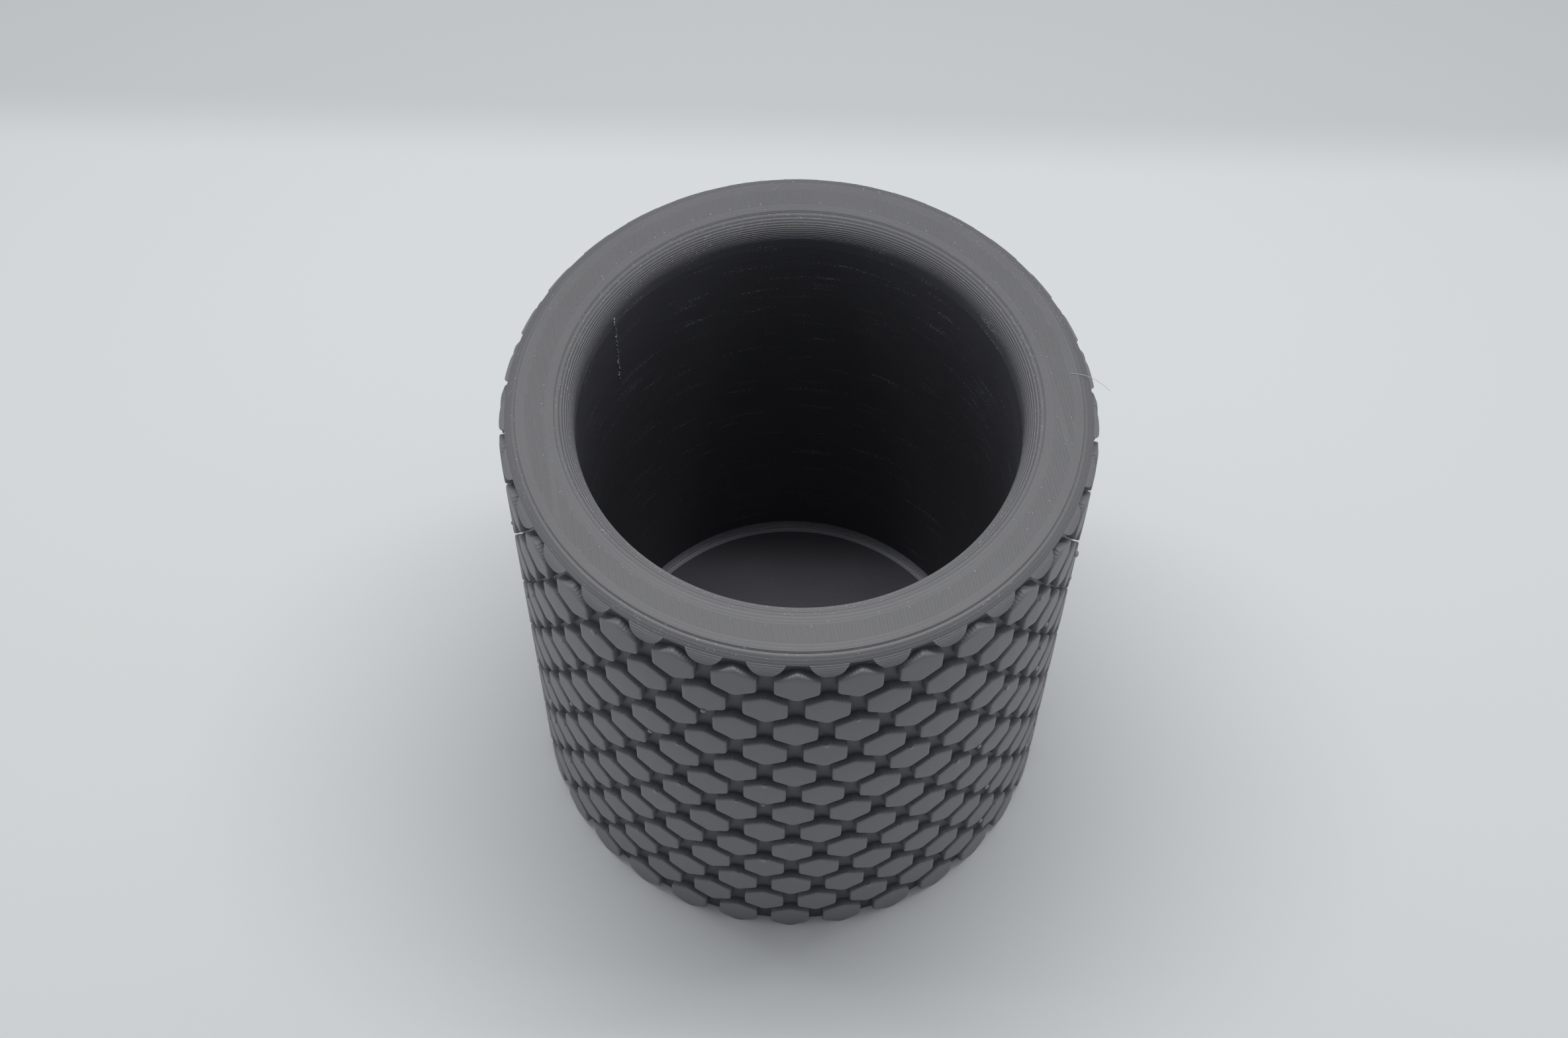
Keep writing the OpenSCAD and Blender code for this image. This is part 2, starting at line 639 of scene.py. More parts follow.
# ---------------------------------------------------------------------------------------------
# Finishes
# ---------------------------------------------------------------------------------------------
class Laid(Enum):
    """The way that a surface's lines of plastic run."""

    STACKED = "stacked"
    ROUND = "round"
    STRAIGHT = "straight"


@dataclass(frozen=True)
class PrintedPlastic:
    """Matt grey polylactide as a hot nozzle lays it down.

    The plastic is satin where a line has cooled smooth and duller where lines meet. Layers show
    as fine level lines, because each one stands out from the next by a few hundredths of a
    millimetre. Pale flecks and streaks are painted highlights, glints of light on the lines.

    Attributes:
        name: Name of the material.
        colour: Colour of the plastic as sRGB hex.
        laid: The way that the lines run.
        roughness: Mean roughness.
        relief: Height of the drawn lines on upright faces, in metres.
        ledge_relief: Height of the drawn lines where layers step back, in metres.
        glint_flecks: Share of the stepped surface with painted highlights as pale flecks, where they gather.
    Attributes:
        name: Name of the material.
        colour: Colour of the plastic as sRGB hex.
        laid: The way that the lines run.
        roughness: Mean roughness.
        relief: Height of the drawn lines on upright faces, in metres.
        ledge_relief: Height of the drawn lines where layers step back, in metres.
        glint_flecks: Share of the stepped surface with painted highlights as pale flecks, where they gather.
        few_glint_flecks: Share of the rim's flat top with painted highlights as pale flecks.
        fleck_turn: Length of a fleck in radians round the axis.
        fleck_width: Width of a fleck.
        glint_colour: Colour of a painted highlight fleck as sRGB hex.
        rim_height: Height of the rim's flat top.
        highlight_streaks: How much paler the painted highlights along stretches of a layer are, or 0 for
            none.
        grain: Size of the plastic's fine grain.
        grain_share: Share of the relief that is grain, not lines.
        mottle: Size of its broad mottling.
        mottle_share: Share of the change in shade that is mottling, not grain.
        shade_change: How much darker and lighter than its colour the plastic gets.
        roughness_change: How far the roughness strays from its mean.
        ior: Index of refraction of polylactide.
        settings: How the plastic was laid down.
    """

    name: str
    colour: str
    laid: Laid = Laid.STACKED
    roughness: float = 0.5
    relief: float = 0.012 * MM
    ledge_relief: float = 0.0
    # The pale flecks are painted highlights: glints of light on the lines, painted into the colour
    glint_flecks: float = 0.0
    few_glint_flecks: float = 0.0007
    fleck_turn: float = 0.0045
    fleck_width: float = 0.11 * MM
    glint_colour: str = "#9c9c9f"
    rim_height: float = CAD_BOX[1].z
    highlight_streaks: float = 0.0
    grain: float = 0.3 * MM
    grain_share: float = 0.3
    mottle: float = 8 * MM
    mottle_share: float = 0.4
    shade_change: float = 0.18
    roughness_change: float = 0.08
    ior: float = 1.46
    settings: PrintSettings = PrintSettings()

    def build(self) -> bpy.types.Material:
        """Build the material.

        Returns:
            The material.
        """
        material, tree = start_material(self.name)
        where = add(tree, "ShaderNodeTexCoord").outputs["Object"]
        split = add(tree, "ShaderNodeSeparateXYZ", {0: where})
        lines = self.line_height(tree, where, split)
        grain = add(tree, "ShaderNodeTexNoise", {"Vector": where, "Scale": 1 / self.grain, "Detail": 3.0})
        mottle = add(tree, "ShaderNodeTexNoise", {"Vector": where, "Scale": 1 / self.mottle, "Detail": 2.0})
        shade = add(tree, "ShaderNodeMix", {"Factor": self.mottle_share, "A": grain, "B": mottle})
        dark, pale = self.shade(1 - self.shade_change), self.shade(1 + self.shade_change)
        colour = add(tree, "ShaderNodeMix", {"Factor": shade, "A": dark, "B": pale}, data_type="RGBA")
        unrolled = self.unrolled(tree, split)
        if self.highlight_streaks:
            colour = self.highlight_streaked(tree, unrolled, colour)
        if self.glint_flecks:
            colour = self.glint_flecked(tree, unrolled, colour)
        smooth, dull = self.roughness - self.roughness_change, self.roughness + self.roughness_change
        rough = add(tree, "ShaderNodeMapRange", {"Value": shade, "To Min": smooth, "To Max": dull})
        height = add(tree, "ShaderNodeMix", {"Factor": self.grain_share, "A": lines, "B": grain})
        facing = add(tree, "ShaderNodeNewGeometry").outputs["Normal"]
        upward = add(tree, "ShaderNodeSeparateXYZ", {0: facing}).outputs["Z"]
        level = add(tree, "ShaderNodeMath", {0: upward}, operation="ABSOLUTE")
        ledge = max(self.relief, self.ledge_relief)
        depth = add(tree, "ShaderNodeMix", {"Factor": level, "A": self.relief, "B": ledge})
        bump = add(tree, "ShaderNodeBump", {"Height": height, "Distance": depth, "Strength": 1.0})
        shader = {"Base Color": colour, "Roughness": rough, "Normal": bump, "IOR": self.ior}
        plastic = add(tree, "ShaderNodeBsdfPrincipled", shader)
        add(tree, "ShaderNodeOutputMaterial", {"Surface": plastic})
        return material

    def shade(self, factor: float) -> tuple[float, float, float, float]:
        """The plastic's linear colour, made lighter or darker by a factor."""
        red, green, blue, alpha = linear(self.colour)
        return red * factor, green * factor, blue * factor, alpha

    @staticmethod
    def unrolled(tree: bpy.types.NodeTree, split: bpy.types.Node) -> bpy.types.Node:
        """Coordinates unrolled from the barrel: along the turn, away from the axis and up.

        Args:
            tree: The material's tree.
            split: The node that splits the object coordinates.

        Returns:
            The node that joins them, with the turn in radians and the rest in metres.
        """
        x, y = split.outputs["X"], split.outputs["Y"]
        turn = add(tree, "ShaderNodeMath", {0: y, 1: x}, operation="ARCTAN2")
        flat = add(tree, "ShaderNodeCombineXYZ", {"X": x, "Y": y})
        away = add(tree, "ShaderNodeVectorMath", {0: flat}, operation="LENGTH")
        return add(tree, "ShaderNodeCombineXYZ", {"X": turn, "Y": away, "Z": split.outputs["Z"]})

    @staticmethod
    def clouds(tree: bpy.types.NodeTree, unrolled: bpy.types.Node, scale: Point3) -> bpy.types.Node:
        """Cloudy pattern on the unrolled coordinates.

        Args:
            tree: The material's tree.
            unrolled: The unrolled coordinates.
            scale: Clouds to a radian round the axis, and to a metre outwards and upwards.

        Returns:
            The pattern's node.
        """
        scaled = add(tree, "ShaderNodeVectorMath", {0: unrolled, 1: scale}, operation="MULTIPLY")
        return add(tree, "ShaderNodeTexNoise", {"Vector": scaled, "Scale": 1.0, "Detail": 1.0})

    def glint_flecked(
        self, tree: bpy.types.NodeTree, unrolled: bpy.types.Node, colour: bpy.types.Node
    ) -> bpy.types.Node:
        """Painted highlights: pale flecks that stand in for glints of light on the lines, gathered on the
        steps.

        Args:
            tree: The material's tree.
            unrolled: The unrolled coordinates.
            colour: The plain colour.

        Returns:
            The flecked colour's node.
        """
        size = (1 / self.fleck_turn, 1 / self.fleck_width, 1 / self.fleck_width)
        cells = add(tree, "ShaderNodeVectorMath", {0: unrolled, 1: size}, operation="MULTIPLY")
        number = add(tree, "ShaderNodeVectorMath", {0: cells}, operation="FLOOR")
        chance = add(tree, "ShaderNodeTexWhiteNoise", {"Vector": number}, noise_dimensions="3D")
        # The painted glints gather in patches about 2 cm long and 2 mm wide
        patch = self.clouds(tree, unrolled, (2.0, 1 / (2 * MM), 1 / (2 * MM)))
        patch_edge, patch_middle = 0.42, 0.66
        patches = {"Value": patch, "From Min": patch_edge, "From Max": patch_middle, "To Max": self.glint_flecks}
        gather = add(tree, "ShaderNodeMapRange", patches)
        # The flat top of the rim has only a few
        flat = self.rim_height - self.settings.layer / 4
        level = add(tree, "ShaderNodeSeparateXYZ", {0: unrolled}).outputs["Z"]
        below = add(tree, "ShaderNodeMath", {0: level, 1: flat}, operation="LESS_THAN")
        share = add(tree, "ShaderNodeMix", {"Factor": below, "A": self.few_glint_flecks, "B": gather})
        chances = {"Value": chance.outputs["Value"], "From Min": share, "From Max": 0.0}
        glint = add(tree, "ShaderNodeMapRange", chances)
        colours = {"Factor": glint, "A": colour, "B": linear(self.glint_colour)}
        return add(tree, "ShaderNodeMix", colours, data_type="RGBA")

    def highlight_streaked(
        self, tree: bpy.types.NodeTree, unrolled: bpy.types.Node, colour: bpy.types.Node
    ) -> bpy.types.Node:
        """Painted highlights: pale stretches along a few layers, some millimetres long, that stand in for
        glints of light.

        Args:
            tree: The material's tree.
            unrolled: The unrolled coordinates.
            colour: The plain colour.

        Returns:
            The streaked colour's node.
        """
        # Long patches a few layers high, broken up into short dashes about a layer high
        patch = self.clouds(tree, unrolled, (3.0, 0.0, 1 / (1.1 * MM)))
        broken = self.clouds(tree, unrolled, (110.0, 0.0, 1 / (0.3 * MM)))
        both = add(tree, "ShaderNodeMath", {0: patch, 1: broken}, operation="MULTIPLY")
        faint, full = 0.375, 0.44
        where = add(tree, "ShaderNodeMapRange", {"Value": both, "From Min": faint, "From Max": full})
        colours = {"Factor": where, "A": colour, "B": self.shade(self.highlight_streaks)}
        return add(tree, "ShaderNodeMix", colours, data_type="RGBA")

    def line_height(
        self, tree: bpy.types.NodeTree, where: bpy.types.NodeSocket, split: bpy.types.Node
    ) -> bpy.types.Node:
        """Height of the laid lines, from 0 in the groove to 1 on the crown.

        Args:
            tree: The material's tree.
            where: Object coordinates.
            split: The node that splits them.

        Returns:
            The height's node.
        """
        pitch = self.settings.line
        if self.laid is Laid.STACKED:
            across = split.outputs["Z"]
            pitch = self.settings.layer
        elif self.laid is Laid.ROUND:
            flat = add(tree, "ShaderNodeCombineXYZ", {"X": split.outputs["X"], "Y": split.outputs["Y"]})
            across = add(tree, "ShaderNodeVectorMath", {0: flat}, operation="LENGTH")
        else:
            side = self.settings.fill_angle - math.pi / 2
            aim = (math.cos(side), math.sin(side), 0.0)
            across = add(tree, "ShaderNodeVectorMath", {0: where, 1: aim}, operation="DOT_PRODUCT")
        phase = add(tree, "ShaderNodeMath", {0: across, 1: math.pi / pitch}, operation="MULTIPLY")
        wave = add(tree, "ShaderNodeMath", {0: phase}, operation="SINE")
        return add(tree, "ShaderNodeMath", {0: wave}, operation="ABSOLUTE")


@dataclass(frozen=True)
class StudioPaper:
    """Matt white paper, which the barrel stands on. Its far part is painted greyer, a painted shade that
    stands for a dimly lit backdrop.

    Attributes:
        name: Name of the material.
        colour: Colour of the paper as sRGB hex.
        far_shade_colour: Colour of the painted shade on the sheet's far part.
        far_from: How far behind the barrel's axis the painted shade starts to show.
        far_to: How far behind the axis it shows fully.
        roughness: Its roughness.
    """

    name: str = "studio_paper"
    colour: str = "#e8ebec"
    # Painted shade: the sheet's far part is greyer to stand for a dimly lit backdrop
    far_shade_colour: str = "#d4d8da"
    far_from: float = 113 * MM
    far_to: float = 131 * MM
    roughness: float = 0.9

    def build(self) -> bpy.types.Material:
        """Build the material.

        Returns:
            The material.
        """
        material, tree = start_material(self.name)
        where = add(tree, "ShaderNodeTexCoord").outputs["Object"]
        back = add(tree, "ShaderNodeSeparateXYZ", {0: where}).outputs["Y"]
        values = {"Value": back, "From Min": self.far_from, "From Max": self.far_to}
        share = add(tree, "ShaderNodeMapRange", values, interpolation_type="SMOOTHSTEP")
        colours = {"Factor": share, "A": linear(self.colour), "B": linear(self.far_shade_colour)}
        colour = add(tree, "ShaderNodeMix", colours, data_type="RGBA")
        shader = {"Base Color": colour, "Roughness": self.roughness}
        paper = add(tree, "ShaderNodeBsdfPrincipled", shader)
        add(tree, "ShaderNodeOutputMaterial", {"Surface": paper})
        return material


@dataclass(frozen=True)
class Finishes:
    """The barrel's materials, one for each way that its plastic was laid. Some carry painted light: the tread
    is painted lighter, the chamber floor darker, and several get painted highlights.
    """

    rim: bpy.types.Material
    fill: bpy.types.Material
    tread: bpy.types.Material
    wall: bpy.types.Material
    chamber: bpy.types.Material
    cove: bpy.types.Material
    floor: bpy.types.Material
    line_ends: bpy.types.Material
    strand: bpy.types.Material

    @classmethod
    def build(cls) -> "Finishes":
        """Build every material.

        Returns:
            The barrel's materials.
        """
        faint, fine, plain, coarse = 0.004 * MM, 0.012 * MM, 0.016 * MM, 0.05 * MM
        stacked, straight = Laid.STACKED, Laid.STRAIGHT
        plastics = {
            # The rim's loops and fill get painted highlights as pale flecks
            "rim": PrintedPlastic("printed_rim_loops", "#68686b", Laid.ROUND, 0.46, faint, glint_flecks=0.06),
            "fill": PrintedPlastic("printed_rim_fill", "#656568", straight, 0.5, faint, glint_flecks=0.02),
            # The tread is painted lighter than the same plastic elsewhere: painted light on its upright faces
            "tread": PrintedPlastic("printed_tread", "#7b7b7f", stacked, 0.48, fine, coarse),
            "wall": PrintedPlastic("printed_wall", "#646469", stacked, 0.5, plain),
            # The chamber's wall gets painted highlights: pale dashes along its layers stand in for glints of
            # light
            "chamber": PrintedPlastic("printed_chamber", "#646469", stacked, 0.42, 0.04 * MM, highlight_streaks=2.6),
            "cove": PrintedPlastic("printed_cove", "#9c9ca2", stacked, 0.6, coarse, coarse),
            # The chamber floor is painted darker than the same plastic elsewhere: painted shade deep in the
            # chamber
            "floor": PrintedPlastic("printed_floor", "#5c5c61", straight, 0.5, plain),
            # Tip blobs and line-end ridges are painted paler than the plastic: a painted highlight for the
            # light that they catch
            "line_ends": PrintedPlastic("printed_line_ends", "#98989c", stacked, 0.42, 0.0),
            "strand": PrintedPlastic("drawn_strand", "#bcbcbe", stacked, 0.35, 0.0),
        }
        return cls(**{use: plastic.build() for use, plastic in plastics.items()})


# ---------------------------------------------------------------------------------------------
# Sub-assemblies
# ---------------------------------------------------------------------------------------------
def dress(
    piece: bpy.types.Object, finishes: Sequence[bpy.types.Material], slot: str, *nodes: str
) -> bpy.types.Object:
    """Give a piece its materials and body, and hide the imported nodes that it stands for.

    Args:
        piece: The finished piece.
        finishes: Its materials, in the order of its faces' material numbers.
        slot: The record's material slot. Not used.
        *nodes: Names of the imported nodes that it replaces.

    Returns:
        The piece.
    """
    for finish in finishes:
        if finish.name not in piece.data.materials:
            piece.data.materials.append(finish)
    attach(piece, BODY)
    if nodes:
        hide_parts(*nodes)
    LOG.info("%s: %d faces", piece.name, len(piece.data.polygons))
    return piece


def scatter(
    name: str, half: Point3, values: dict[str, Any], finish: bpy.types.Material, slot: str
) -> bpy.types.Object:
    """Set small blobs on some of the points of a pattern, and dress them as one piece.

    Args:
        name: Name of the finished piece.
        half: Half sizes of a blob, away from the axis, along the turn and up.
        values: Inputs of the tree that scatters them, whose rows neither stagger nor drop unless
            they say so.
        finish: Their material.
        slot: The record's material slot.

    Returns:
        The blobs.
    """
    values = {"Row Pitch": 0.0, "Stagger": 0.0, "Finish": finish} | values
    piece = scattered_blobs().apply(name, blob_mesh(*half), values, NEVER_SHARP)
    return dress(piece, [finish], slot)


@dataclass
class Shell:
    """The plain solids of the barrel: its floor, the foot of its wall and the wall.

    Attributes:
        sizes: The barrel's sizes.
        settings: How the plastic was laid down.
        finishes: The materials.
        segments: Steps in one turn.
        foot_squash: How far the first layer is pressed in at the base's edge.
    """

    sizes: BarrelSizes
    settings: PrintSettings
    finishes: Finishes
    segments: int = 240
    foot_squash: float = 0.12 * MM

    def build(self) -> None:
        """Build and dress the shell's pieces."""
        self.floor()
        self.foot()
        self.wall()

    def floor(self) -> bpy.types.Object:
        """Build the floor, with a pressed first layer at the edge of the base.

        Returns:
            The floor.
        """
        s = self.sizes
        profile = [
            (0.0, 0.0),
            (s.wall_r - self.foot_squash, 0.0),
            (s.wall_r, self.settings.layer),
            (s.wall_r, s.floor_z),
            (0.0, s.floor_z),
        ]
        piece = new_object("chamber_floor", revolve(profile, self.segments, closed=False))
        return dress(piece, [self.finishes.floor], "chamber_plastic", "floor_disc")

    def foot(self) -> bpy.types.Object:
        """Build the wall's foot, whose cove steps in layer by layer.

        Returns:
            The foot ring.
        """
        s = self.sizes
        top = s.floor_z + s.cove_r
        profile = layer_steps(s.cove_radius, s.floor_z, top, self.settings, outward=False)
        profile += [(s.wall_r, top), (s.wall_r, s.floor_z)]
        piece = new_object("chamber_cove", revolve(profile, self.segments, closed=True))
        self.line_inside(piece.data)
        return dress(piece, [self.finishes.wall, self.finishes.cove], "chamber_plastic", "wall_foot")

    def wall(self) -> bpy.types.Object:
        """Build the wall between the foot and the mouth ring.

        Returns:
            The wall.
        """
        s = self.sizes
        low = s.floor_z + s.cove_r
        profile = [(s.chamber_r, low), (s.chamber_r, s.ring_z), (s.wall_r, s.ring_z), (s.wall_r, low)]
        piece = new_object("barrel_wall_print", revolve(profile, self.segments, closed=True))
        self.line_inside(piece.data)
        return dress(piece, [self.finishes.wall, self.finishes.chamber], "wall_plastic", "barrel_wall")

    def line_inside(self, mesh: bpy.types.Mesh) -> None:
        """Give the faces that look into the chamber the second material.

        Args:
            mesh: The mesh to sort.
        """
        middle = (self.sizes.chamber_r + self.sizes.wall_r) / 2
        for face in mesh.polygons:
            face.material_index = int(math.hypot(face.center.x, face.center.y) < middle)


def layer_steps(
    radius_at: Callable[[float], float], low: float, high: float, settings: PrintSettings, outward: bool
) -> Profile:
    """Side of a stack of layers, as a nozzle leaves it.

    Args:
        radius_at: Radius of the true surface at a height.
        low: Height where the stack starts.
        high: Height where it ends.
        settings: How the plastic was laid down.
        outward: True where the stack's air is outside its radius, False where it is inside.

    Returns:
        Points from the lowest layer to the highest, four to a layer.
    """
    count = max(1, round((high - low) / settings.layer))
    step = (high - low) / count
    groove = settings.groove if outward else -settings.groove
    sag = settings.shoulder_sag if outward else settings.sag
    profile: Profile = []
    for layer in range(count):
        bottom, top = low + layer * step, low + (layer + 1) * step
        radius = radius_at(bottom + step / 2)
        pinch = groove * max(0.0, 1 - abs(radius_at(top) - radius_at(bottom)) / step)
        # The top layer keeps most of its own edge, because nothing presses on it
        most = settings.line / 6 if layer == count - 1 else step * count
        # A layer's side is plain between these shares of its height, and pinched beyond them
        plain_from, plain_to = 0.3, 0.7
        for share, inset in ((0.0, pinch), (plain_from, 0.0), (plain_to, 0.0), (1.0, pinch)):
            height = bottom + share * step
            shift = sag * (radius_at(height) - radius)
            profile.append((radius + min(max(shift, -most), most) - inset, height))
    return profile


@dataclass
class Mouth:
    """The mouth ring with its stepped lip and shoulder, and the straight lines that fill its top.

    Attributes:
        sizes: The barrel's sizes.
        settings: How the plastic was laid down.
        finishes: The materials.
        segments: Steps in one turn of the ring.
        fill_overlap: How far the straight lines run over the round ones beside them.
        fill_crown: Height of a straight line's crown over the bed between the lines.
        crown_share: Shares of a round line's width where its flat crown starts and ends.
        bed_gap: Width of the step from the last round line down to the bed.
        turns: Number of places in one turn where a straight line may turn round.
        turn_share: Share of those places with a ridge.
        ridge: Half length, half width and half height of the ridge that a turn leaves.
    """

    sizes: BarrelSizes
    settings: PrintSettings
    finishes: Finishes
    segments: int = 360
    fill_overlap: float = 0.2 * MM
    fill_crown: float = 0.022 * MM
    crown_share: Point2 = (0.25, 0.75)
    bed_gap: float = 0.01 * MM
    turns: int = 150
    turn_share: float = 0.3
    ridge: Point3 = (0.22 * MM, 0.06 * MM, 0.03 * MM)

    @property
    def inner_edge(self) -> float:
        """Radius of the top layer's inner edge."""
        return self.sizes.mouth_radius(self.sizes.height - self.settings.layer / 2)

    @property
    def outer_edge(self) -> float:
        """Radius of the top layer's outer edge."""
        return self.sizes.skin_radius(self.sizes.height - self.settings.layer / 2)

    @property
    def loops_width(self) -> float:
        """Width of the round lines beside each edge of the top layer."""
        return self.settings.loops * self.settings.line

    def build(self) -> None:
        """Build and dress the mouth's pieces."""
        self.ring()
        self.fill(side=1)
        self.fill(side=-1)
        self.line_ends()

    def ring(self) -> bpy.types.Object:
        """Build the ring, stepped over the lip and the shoulder.

        Returns:
            The ring.
        """
        s, p = self.sizes, self.settings
        inside = layer_steps(s.mouth_radius, s.ring_z, s.height, p, outward=False)
        band_z = s.height - s.band_drop
        outside = layer_steps(lambda z: s.wall_r, s.ring_z, band_z, p, outward=True)
        outside += layer_steps(s.skin_radius, band_z, s.height, p, outward=True)
        top = self.loop_tops(self.inner_edge, 1) + list(reversed(self.loop_tops(self.outer_edge, -1)))
        profile = inside + top + list(reversed(outside))
        piece = new_object("mouth_ring_print", revolve(profile, self.segments, closed=True))
        # Below the lip the ring's inside is part of the chamber's wall
        for face in piece.data.polygons:
            away = math.hypot(face.center.x, face.center.y)
            face.material_index = int(away < s.chamber_r + p.layer and face.center.z < s.height)
        return dress(piece, [self.finishes.rim, self.finishes.chamber], "rim_plastic", "mouth_ring")

    def loop_tops(self, edge: float, way: int) -> Profile:
        """Tops of the round lines beside an edge of the top layer.

        Args:
            edge: Radius of the edge.
            way: 1 where the lines lie outside the edge's radius, -1 where they lie inside it.

        Returns:
            Points from the edge to the fill.
        """
        p, top = self.settings, self.sizes.height
        points: Profile = []
        for loop in range(p.loops):
            start = edge + way * loop * p.line
            points += [(start + way * share * p.line, top) for share in self.crown_share]
            points += [(start + way * p.line, top - p.groove)]
        return points + [(edge + way * (self.loops_width + self.bed_gap), top - self.fill_crown)]

    def fill(self, side: int) -> bpy.types.Object:
        """Build the straight lines that fill the rim between its round lines.

        Args:
            side: 1 for the half with both flanks, -1 for the other half.

        Returns:
            The lines.
        """
        s, p = self.sizes, self.settings
        inner = self.inner_edge + self.loops_width - self.fill_overlap
        outer = self.outer_edge - self.loops_width + self.fill_overlap
        reach = outer if side > 0 else inner
        count = 2 * int(reach / p.line) - (1 if side < 0 else 0)
        values = {
            "Count": count,
            "Pitch": p.line,
            "Inner Radius": inner,
            "Outer Radius": outer,
            "Height": s.height - self.fill_crown,
            "Side": float(side),
            "Crown": self.fill_crown,
            "Angle": p.fill_angle - math.pi / 2,
            "Finish": self.finishes.fill,
        }
        name = "rim_fill_far" if side > 0 else "rim_fill_near"
        piece = fill_lines().apply(name, bpy.data.meshes.new("seed"), values)
        return dress(piece, [self.finishes.fill], "rim_plastic")

    def line_ends(self) -> bpy.types.Object:
        """Leave small ridges where the straight lines turn round at the inner loops.

        Returns:
            The ridges.
        """
        values = {
            "Rows": 1,
            "Per Row": self.turns,
            "First Angle": 0.0,
            "Radius": self.inner_edge + self.loops_width + self.ridge[0],
            "Top Height": self.sizes.height,
            "Share": self.turn_share,
            "Seed": 4,
        }
        return scatter("rim_line_ends", self.ridge, values, self.finishes.line_ends, "rim_plastic")


@dataclass(frozen=True)
class PadShape:
    """Outline of one raised pad, in metres from its centre.

    Attributes:
        half_flats: Half the width between the upright sides.
        half_corners: Half the height from corner to corner, before the tips are blunted.
        tip: Half width of the blunted tip.
        corner: How much of the slanting edge the rounding of a side corner takes.
        tip_drop: How far the tip's middle stands below a sharp tip, as a share of the blunting.
        bend: Place of the point that rounds a side corner, inwards and downwards, as shares of corner.
        side_drop: How far down the upright side starts, as a share of corner.
    """

    half_flats: float
    half_corners: float
    tip: float = 0.4 * MM
    corner: float = 0.36 * MM
    tip_drop: float = 0.62
    bend: Point2 = (0.22, 0.1)
    side_drop: float = 0.85

    def edge(self, inset: float) -> Profile:
        """Upper edge of the outline.

        Args:
            inset: How far the edge lies inside the outline.

        Returns:
            Nine points from left to right, as distance along the barrel and height.
        """
        flats = self.half_flats - inset
        slope = 1 / math.sqrt(3)
        top = self.half_corners - 2 * inset / math.sqrt(3)
        side = top - flats * slope
        bend_in, bend_down = self.bend
        right = [
            (self.tip, top - self.tip * slope),
            (flats - self.corner, top - (flats - self.corner) * slope),
            (flats - bend_in * self.corner, side - bend_down * self.corner),
            (flats, side - self.side_drop * self.corner),
        ]
        middle = (0.0, top - self.tip_drop * self.tip * slope)
        return [(-u, z) for u, z in reversed(right)] + [middle] + right


